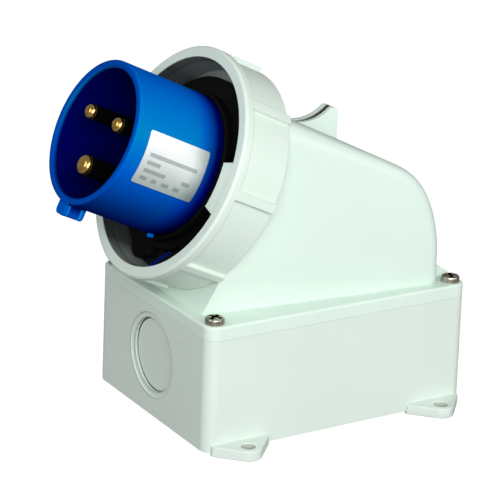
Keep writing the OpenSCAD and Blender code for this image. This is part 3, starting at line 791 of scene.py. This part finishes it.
def tint(tree, kind, factor, a, b):
    made = node(tree, "ShaderNodeMix", data_type="RGBA", blend_type=kind)
    for socket, value in ((made.inputs[0], factor), (made.inputs[6], a), (made.inputs[7], b)):
        if isinstance(value, float):
            socket.default_value = value
        elif isinstance(value, tuple):
            socket.default_value = (*value, 1)
        else:
            tree.links.new(value, socket)
    return made.outputs[2]


def raise_grain(tree, shader, height, strength, depth):
    bump = node(tree, "ShaderNodeBump", {"Strength": strength, "Distance": depth * mm})
    tree.links.new(height, bump.inputs["Height"])
    tree.links.new(bump.outputs[0], shader.inputs["Normal"])


def moulded(name, colour, rough, grain, depth, mottle, gloss=0.5):
    mat, tree, shader, place = finish(name)
    out = use(tree, skin, place, Grain_Scale=grain, Mottle=mottle)
    colour = colour(tree, place) if callable(colour) else colour
    tree.links.new(tint(tree, "MULTIPLY", 1.0, colour, out["Tone"]), shader.inputs["Base Color"])
    tree.links.new(spread(tree, out["Smudge"], 0.0, 1.0, rough[1], rough[0]), shader.inputs["Roughness"])
    raise_grain(tree, shader, out["Grain"], 0.35, depth)
    shader.inputs["Specular IOR Level"].default_value = gloss
    return mat


# %% [markdown]
# ## Tones inside the ring's mouth
# Light reaches the inside of the ring only from the front, so its wall is dark grey there. As in the
# photograph, it is lighter at the upper near side and at the very bottom.


# %% Tones: the mouth and the wall
def along(tree, at, noon, side):
    return math_node(tree, "ADD", math_node(tree, "MULTIPLY", at["Noon"], noon),
                     math_node(tree, "MULTIPLY", at["Side"], side))


def mouth_grey(tree, at):
    # painted light: the dark wall is made lighter at the upper near side and at the very bottom
    upper = ramp(tree, along(tree, at, 0.82, -0.57), 12, 34)
    lower = ramp(tree, at["Noon"], -36.5, -41.5)
    light = math_node(tree, "MAXIMUM", upper, lower)
    return tint(tree, "MIX", light, (0.058, 0.068, 0.066), (0.28, 0.315, 0.3))


def wall_grey(tree, place):
    at = use(tree, axes, place)
    # painted shade: the top of the wall's lip is darkened so that it doesn't catch the light
    lip = over(tree, at["Out"], wall_end - 0.4)
    return tint(tree, "MULTIPLY", lip, mouth_grey(tree, at), (0.55, 0.55, 0.55))


# %% [markdown]
# ## Tones on the blue plug
# The blue carries painted shade: it goes from near navy underneath over a clear blue at the side to a deeper
# one on top, and falls off to dark towards the foot, inside the ring. The well is painted navy as shade, the
# end face a little deeper than the side. The key has two painted highlights along its edges and painted shade
# in the scoop between its plates.


# %% Tones: the shroud and its key
def shroud_blue(tree, at):
    # painted shade: navy underneath, clear blue at the side, deeper again on top
    tone = (0.0, 0.008, 0.14)
    for begin, end, next_tone in ((-28, -8, (0.0, 0.09, 0.5)), (-8, 8, (0.0, 0.185, 0.465)),
                                  (8, 28, (0.0, 0.1, 0.53))):
        tone = tint(tree, "MIX", ramp(tree, at["Noon"], begin, end), tone, next_tone)
    # painted shade: darker towards the foot, inside the ring
    for begin, end, left in ((30, 20.5, (1, 0.01, 1)), (26.7, 19, (1, 1, 0.1))):
        tone = tint(tree, "MULTIPLY", ramp(tree, at["Out"], begin, end), tone, left)
    on_end = ramp(tree, at["Out"], shroud_end - 0.6, shroud_end - 0.3)
    tone = tint(tree, "MIX", on_end, tone, (0.0, 0.06, 0.38))
    # painted shade: the well is navy
    deep = ramp(tree, at["Out"], shroud_end - 0.2, shroud_end - 2)
    in_well = both(tree, under(tree, at["Radius"], well_r + 0.5), deep)
    return tint(tree, "MIX", in_well, tone, (0.0, 0.0008, 0.1))


def key_blue(tree, at):
    # painted shade: the web between the plates is dark near the shroud
    scoop = tint(tree, "MIX", ramp(tree, at["Radius"], 29, 32), (0.0, 0.006, 0.16), (0.0, 0.075, 0.46))
    between = within(tree, at["Out"], key_back + key_t + 0.1, shroud_end - key_t - 0.1)
    tone = tint(tree, "MIX", between, (0.0, 0.085, 0.48), scoop)
    # painted highlights: two lighter bands along the plates' edges
    lit_back = within(tree, at["Out"], key_back + 1.2, key_back + 2.1)
    lit_front = within(tree, at["Out"], shroud_end - 2.1, shroud_end - 1.2)
    lit = math_node(tree, "MAXIMUM", lit_back, lit_front)
    return tint(tree, "MIX", lit, tone, (0.005, 0.2, 0.68))


# %% [markdown]
# The flange behind the shroud lies in the dark of the mouth. It is black near the seal, grey as the
# mouth further out, and crossed by one thin blue strip.


# %% Tones: the flange, and the whole plug
def flange_tone(tree, at):
    black = (0.01, 0.011, 0.012)
    across = along(tree, at, 0.727, 0.687)
    tone = tint(tree, "MIX", under(tree, at["Radius"], 36.3), mouth_grey(tree, at), black)
    tone = tint(tree, "MIX", within(tree, across, -32, 0), tone, black)
    return tint(tree, "MIX", within(tree, across, -29, -27.8), tone, (0.0, 0.016, 0.26))


def plug_blue(tree, place):
    at = use(tree, axes, place)
    proud = over(tree, at["Radius"], shroud_r + 0.3)
    on_pip = both(tree, proud, within(tree, at["Out"], pip_out - 1.5, pip_out + 1.5))
    on_key = both(tree, proud, within(tree, at["Out"], key_back - 0.5, shroud_end + 0.2))
    on_flange = both(tree, proud, under(tree, at["Out"], flange_front + 0.7))
    tone = tint(tree, "MIX", on_pip, shroud_blue(tree, at), (0.0, 0.12, 0.6))
    tone = tint(tree, "MIX", on_key, tone, key_blue(tree, at))
    return tint(tree, "MIX", on_flange, tone, flange_tone(tree, at))


# %% [markdown]
# ## Tones on the pale plastic
# The ring is grey inside its mouth. On the cover the fin's channel is painted in deep shade, and painted
# shade makes the flat roof a little darker than the sides. On the box painted shade makes the lug holes
# darker, and thin arcs of painted shade lie in the steps of the knockout, stronger on the far side, which the
# light doesn't reach.


# %% Tones: ring, cover and box
def from_axis(tree, a, b, middle_a, middle_b):
    squares = [math_node(tree, "POWER", math_node(tree, "SUBTRACT", value, middle * mm), 2.0)
               for value, middle in ((a, middle_a), (b, middle_b))]
    return math_node(tree, "SQRT", math_node(tree, "ADD", *squares))


def split(tree, place):
    made = node(tree, "ShaderNodeSeparateXYZ")
    tree.links.new(place, made.inputs[0])
    return made.outputs


def from_corners(tree, x, y, middle_x, middle_y):
    size_x, size_y = math_node(tree, "ABSOLUTE", x), math_node(tree, "ABSOLUTE", y)
    return from_axis(tree, size_x, size_y, middle_x, middle_y)


def ring_tone(tree, place):
    at = use(tree, axes, place)
    on_bore = within(tree, at["Radius"], mouth_r - 0.25, mouth_r + 0.18)
    in_mouth = both(tree, on_bore, ramp(tree, at["Out"], ring_front - 0.4, ring_front - 0.6))
    return tint(tree, "MIX", in_mouth, (0.665, 0.772, 0.695), mouth_grey(tree, at))


def cover_tone(tree, place):
    at = use(tree, axes, place)
    x, y, z = split(tree, place)
    # painted shade: the fin's channel between the lips is nearly black
    reach = from_axis(tree, x, z, scoop_x, scoop_z)
    between_lips = under(tree, math_node(tree, "ABSOLUTE", y), channel_w / 2 + 0.05)
    deep = both(tree, ramp(tree, reach, scoop_r, scoop_r + 1), under(tree, reach, channel_r + 0.2))
    on_fin = both(tree, over(tree, at["Noon"], roof_h + 0.2), over(tree, x, fin_front - 2))
    # painted shade: the flat roof is a little darker than the sides
    on_roof = both(tree, ramp(tree, at["Noon"], roof_h - 1.9, roof_h - 0.2),
                   under(tree, at["Noon"], roof_h + 0.4), under(tree, at["Out"], 0))
    tone = tint(tree, "MULTIPLY", on_roof, (0.67, 0.798, 0.719), (0.84, 0.84, 0.84))
    return tint(tree, "MIX", both(tree, deep, between_lips, on_fin), tone, (0.05, 0.047, 0.04))


def box_tone(tree, place):
    x, y, z = split(tree, place)
    # painted shade: the walls of the lug holes are darker
    in_hole = both(tree, under(tree, from_corners(tree, x, y, hole_x, hole_y), hole_r + 0.1),
                   under(tree, z, lug_t - 0.3))
    tone = tint(tree, "MIX", in_hole, (0.655, 0.747, 0.685), (0.5, 0.55, 0.48))
    from_middle = from_axis(tree, y, z, 0, knock_z)
    in_groove = (floor_r - 0.8, floor_r + 0.1, floor_depth + 0.02, floor_depth + 0.7, 0.9)
    at_step = (step_r - 0.05, step_r + 0.3, -0.1, 0.5, 0.45)
    at_floor = (floor_r - 0.05, floor_r + 0.3, step_depth - 0.1, step_depth + 0.4, 0.4)
    arcs = 0.0
    for near, far, begin, end, strength in (in_groove, at_step, at_floor):
        deep = within(tree, x, begin - half_l, end - half_l)
        arc = both(tree, within(tree, from_middle, near, far), deep, strength)
        arcs = math_node(tree, "MAXIMUM", arcs, arc)
    arcs = both(tree, arcs, spread(tree, y, -8 * mm, 2 * mm, 0.15, 1.0))
    return tint(tree, "MIX", arcs, tone, (0.05, 0.048, 0.042))


# %% [markdown]
# With the tones at hand, each moulded finish is one line: its roughness between two values, the
# scale and depth of its grain, how much its tone drifts, and its gloss.

# %% Make the moulded finishes
box_pale = moulded("pale_box_plastic", box_tone, (0.34, 0.46), 2400, 0.05, 0.018, 0.45)
cover_pale = moulded("pale_cover_plastic", cover_tone, (0.34, 0.46), 2400, 0.05, 0.018, 0.45)
ring_pale = moulded("pale_ring_plastic", ring_tone, (0.36, 0.48), 2800, 0.05, 0.02, 0.45)
blue = moulded("blue_plug_plastic", plug_blue, (0.34, 0.46), 2600, 0.04, 0.03, 0.0)
wall_dark = moulded("black_wall_plastic", wall_grey, (0.36, 0.48), 2200, 0.02, 0.06, 0.3)
rubber = moulded("black_seal_rubber", (0.003, 0.003, 0.0028), (0.5, 0.68), 3600, 0.08, 0.2, 0.06)
inner = moulded("inner_plastic", (0.62, 0.62, 0.56), (0.4, 0.55), 2400, 0.05, 0.03)
moulded_finishes = (box_pale, cover_pale, ring_pale, blue, wall_dark, rubber, inner)
print("moulded finishes", [mat.name for mat in moulded_finishes])

# %% [markdown]
# ## Finishes: metals
# The screws are nickel plated, with fine lines from turning, and painted shade makes them dark in the recess.
# The pins show brass only on their rounded tips. Their shanks are painted black as shade, so their finish
# changes from metal to black at a height along the plug.


# %% Make the metal finishes
def metal(name, colour, dull, rough, line_scale):
    mat, tree, shader, place = finish(name)
    out = use(tree, marks, place, Line_Scale=line_scale)
    tone = tint(tree, "MIX", math_node(tree, "MULTIPLY", out["Spots"], 0.5), colour, dull)
    tree.links.new(spread(tree, out["Lines"], 0.3, 0.7, *rough), shader.inputs["Roughness"])
    raise_grain(tree, shader, out["Lines"], 0.2, 0.02)
    shader.inputs["Metallic"].default_value = 1.0
    return mat, tree, shader, place, tone


nickel, dull_nickel, painted_recess_shade = (0.52, 0.48, 0.4), (0.22, 0.19, 0.14), (0.03, 0.028, 0.024)
steel, tree, shader, place, tone = metal("nickel_screw", nickel, dull_nickel, (0.2, 0.36), 900)
x, y, z = split(tree, place)
# painted shade: the cross recess is painted dark
recess = both(tree, under(tree, from_corners(tree, x, y, screw_x, screw_y), cross_reach + 0.15),
              under(tree, z, rim_top + head_h - 0.4))
tree.links.new(tint(tree, "MIX", recess, tone, painted_recess_shade), shader.inputs["Base Color"])
bright_brass, dull_brass, painted_shank_shade = (0.74, 0.45, 0.13), (0.42, 0.23, 0.06), (0.002, 0.002, 0.002)
brass, tree, shader, place, tone = metal("brass_pin", bright_brass, dull_brass, (0.14, 0.28), 1100)
# painted shade: below the tip the brass pin is painted black
tip_out = 54.4
tip = ramp(tree, use(tree, axes, place)["Out"], tip_out, tip_out + 0.2)
tree.links.new(tint(tree, "MIX", tip, painted_shank_shade, tone), shader.inputs["Base Color"])
tree.links.new(tip, shader.inputs["Metallic"])
shader.inputs["Specular IOR Level"].default_value = 0.05
print("metal finishes", steel.name, "and", brass.name)

# %% [markdown]
# ## Finishes: the label's foil
# The label is a dull silver foil with a few plain grey bars, which stand in rows along the shroud.
# A small group makes the mask of one bar, so that the foil can use it once for each bar.

# %% Group: one bar of the label
bar_inputs = [(title, "Float") for title in ("Noon", "Out", "Row", "From", "To")]
bar, take, give = group("label_bar", bar_inputs, [("Mask", "Float")])
bar_half = 0.75
from_row = math_node(bar, "ABSOLUTE", math_node(bar, "SUBTRACT", take["Noon"], take["Row"]))
in_span = both(bar, math_node(bar, "LESS_THAN", take["Out"], take["From"]),
               math_node(bar, "GREATER_THAN", take["Out"], take["To"]))
bar.links.new(both(bar, under(bar, from_row, bar_half), in_span), give["Mask"])
print("made group", bar.name)

# %% [markdown]
# The bars are faint and a little worn by the grain. The foil darkens towards its lower edge and
# towards the ring, where the shroud turns from the light.

# %% Make the label's foil with its plain bars
foil, tree, shader, place = finish("label_foil")
at = use(tree, axes, place)
bar_rows = {1.6: ((48.6, 27.0),), -1.4: ((48.6, 42.6),), -4.4: ((48.6, 38.8), (31.2, 27.6)),
            -7.4: ((48.6, 45.6), (43.4, 41.2), (38.8, 35.6), (33.4, 30.6))}
bar_spans = [(row, first, last) for row, spans in bar_rows.items() for first, last in spans]
bars = 0.0
for row, first, last in bar_spans:
    made = node(tree, "ShaderNodeGroup", node_tree=bar)
    for key in ("Noon", "Out"):
        tree.links.new(at[key], made.inputs[key])
    for key, value in (("Row", row), ("From", first), ("To", last)):
        made.inputs[key].default_value = value * mm
    bars = math_node(tree, "MAXIMUM", bars, made.outputs[0])
worn = use(tree, skin, place, Grain_Scale=5200.0, Mottle=0.03)
sheet = tint(tree, "MULTIPLY", 1.0, (0.80, 0.83, 0.83), worn["Tone"])
for dark_side in (ramp(tree, at["Noon"], 3, -9), ramp(tree, at["Out"], 30, 24)):
    sheet = tint(tree, "MULTIPLY", dark_side, sheet, (0.52, 0.58, 0.56))
faint = both(tree, bars, spread(tree, worn["Grain"], 0.3, 0.7, 0.35, 0.75))
tree.links.new(tint(tree, "MIX", faint, sheet, (0.16, 0.17, 0.18)), shader.inputs["Base Color"])
tree.links.new(spread(tree, worn["Smudge"], 0.0, 1.0, 0.42, 0.3), shader.inputs["Roughness"])
shader.inputs["Metallic"].default_value = 0.25
print("made", len(bpy.data.materials), "materials")

# %% [markdown]
# ## Putting the finishes on
# Each new piece takes one finish. The solids that stay, the pins and the pieces inside the housing,
# keep their meshes and only get a better material in their slots.


# %% Paint the pieces and the solids that stay
def paint(piece, mat):
    piece.data.materials.clear()
    piece.data.materials.append(mat)
    for face in piece.data.polygons:
        face.material_index = 0


for piece, mat in ((box, box_pale), (cover, cover_pale), (ring, ring_pale), (plug, blue), (wall, wall_dark),
                   (seal, rubber), (screws, steel), (label, foil)):
    paint(piece, mat)
solid_finish = {"pin_line": brass, "pin_neutral": brass, "pin_earth": brass, "pin_retainer": inner,
                "cover_gasket": rubber, "insert_seal": rubber, "insert_screws": steel,
                "retainer_screws": steel, "terminal_screws": steel}
for name, mat in solid_finish.items():
    for slot in frame["nodes"][name].material_slots:
        slot.material = mat
print("painted", len(solid_finish), "solids")

# %% [markdown]
# ## The floor and the surround
# A catalogue picture stands on a plain pale floor in a bright surround. The floor is lifted for the
# camera alone, so that it reads nearly white without throwing more light up under the part.

# %% Build the floor and the surround
floor = start(bpy.ops.mesh.primitive_plane_add, "studio_floor", size=9)
floor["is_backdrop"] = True
floor_mat, tree, shader, place = finish("pale_floor")
dust = use(tree, skin, place, Grain_Scale=900.0, Mottle=0.01)
tree.links.new(tint(tree, "MULTIPLY", 1.0, (0.3, 0.305, 0.305), dust["Tone"]), shader.inputs["Base Color"])
shader.inputs["Roughness"].default_value = 0.9
shader.inputs["Specular IOR Level"].default_value = 0.1
lift = node(tree, "ShaderNodeEmission", {"Color": (1, 1, 1, 1)})
seen = node(tree, "ShaderNodeLightPath")
tree.links.new(math_node(tree, "MULTIPLY", seen.outputs["Is Camera Ray"], 0.92), lift.inputs["Strength"])
summed = tree.nodes.new("ShaderNodeAddShader")
tree.links.new(shader.outputs[0], summed.inputs[0])
tree.links.new(lift.outputs[0], summed.inputs[1])
tree.links.new(summed.outputs[0], tree.nodes["Material Output"].inputs["Surface"])
paint(floor, floor_mat)
world = bpy.data.worlds.new("bright_surround")
bpy.context.scene.world = world
world.use_nodes = True
world.node_tree.nodes["Background"].inputs["Color"].default_value = (1, 1, 1, 1)
world.node_tree.nodes["Background"].inputs["Strength"].default_value = 0.26
bpy.context.scene.view_settings.view_transform = "Standard"
print("floor and surround are set")

# %% [markdown]
# ## The lights
# Four square soft lights stand at the same distance from the part and look at its middle. The ones
# beside the camera and at the near side are the strongest, which leaves the box's front end in half
# shade.

# %% Set the lights
light_range, light_size = 1.2, 0.6
light_aim = Vector((0, 0, 0.07))


def lamp(name, turn, height, power):
    way = direction(math.radians(turn), math.radians(height))
    clear()
    bpy.ops.object.light_add(type="AREA", location=light_aim + light_range * way)
    light = bpy.context.active_object
    light.name = name
    light.data.shape = "SQUARE"
    light.data.size = light_size
    light.data.energy = power
    light.rotation_euler = (-way).to_track_quat("-Z", "Y").to_euler()


for name, turn, height, power in (("side_light", 0, 30, 4.75), ("right_light", 35, 15, 1.86),
                                  ("camera_light", -30, 20, 8.8), ("front_light", -90, 30, 2.95)):
    lamp(name, turn, height, power)

# %% [markdown]
# ## Both sizes
# The solids' size and the dressed part's size are printed side by side. The dressed part has to
# stay within the solids' size.

# %% Print both sizes
new_low, new_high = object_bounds()
cad_size, new_size = cad_high - cad_low, new_high - new_low
print("solids", [round(v, 4) for v in cad_size], "dressed", [round(v, 4) for v in new_size])
